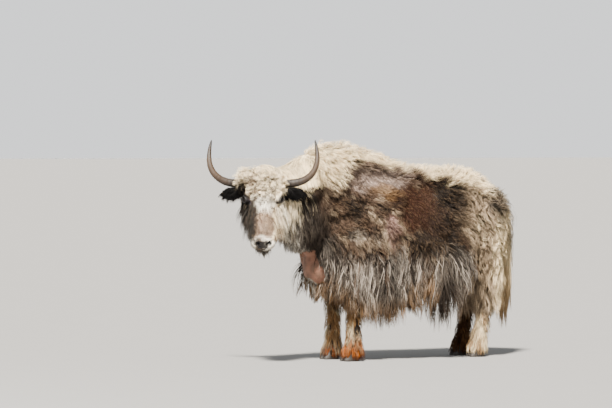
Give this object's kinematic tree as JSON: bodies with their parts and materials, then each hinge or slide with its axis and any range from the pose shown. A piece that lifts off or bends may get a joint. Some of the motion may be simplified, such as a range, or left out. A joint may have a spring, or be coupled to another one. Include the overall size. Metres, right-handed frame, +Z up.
{
  "type": "yak",
  "caption": "Life-size still model of a long-haired yak standing square with its head turned to its left, horned and shaggy, for a museum display.",
  "frame": {"origin": "on the ground, at the middle of the box that the whole animal fills", "axes": "+Z up, the body faces -X, the animal's left side faces -Y"},
  "size_m": [2.0844, 0.6576, 1.3137],
  "materials": {
    "coat_grey": "matte long hair in grey, brown and silver locks",
    "wool_pale": "matte creamy white wool and long hair",
    "coat_leg": "matte short and shaggy hair in brown and tan",
    "horn": "satin grey-brown horn with pale worn faces and dark rings at the base",
    "ear": "short black hair",
    "eye": "wet gloss, dark brown iris with a long pupil",
    "hoof": "satin dark horn with growth rings"
  },
  "bodies": {
    "root": {"horn_left": "horn", "horn_right": "horn", "ear_left": "ear", "ear_right": "ear", "eye_left": "eye", "eye_right": "eye", "head": "wool_pale", "neck": "wool_pale", "torso": "coat_grey", "tail": "wool_pale", "fore_leg_left": "coat_leg", "fore_leg_right": "coat_leg", "hind_leg_left": "coat_leg", "hind_leg_right": "coat_leg", "fore_hoof_left_outer": "hoof", "fore_hoof_left_inner": "hoof", "fore_hoof_right_outer": "hoof", "fore_hoof_right_inner": "hoof", "hind_hoof_left_outer": "hoof", "hind_hoof_left_inner": "hoof", "hind_hoof_right_outer": "hoof", "hind_hoof_right_inner": "hoof"}
  },
  "joints": []
}
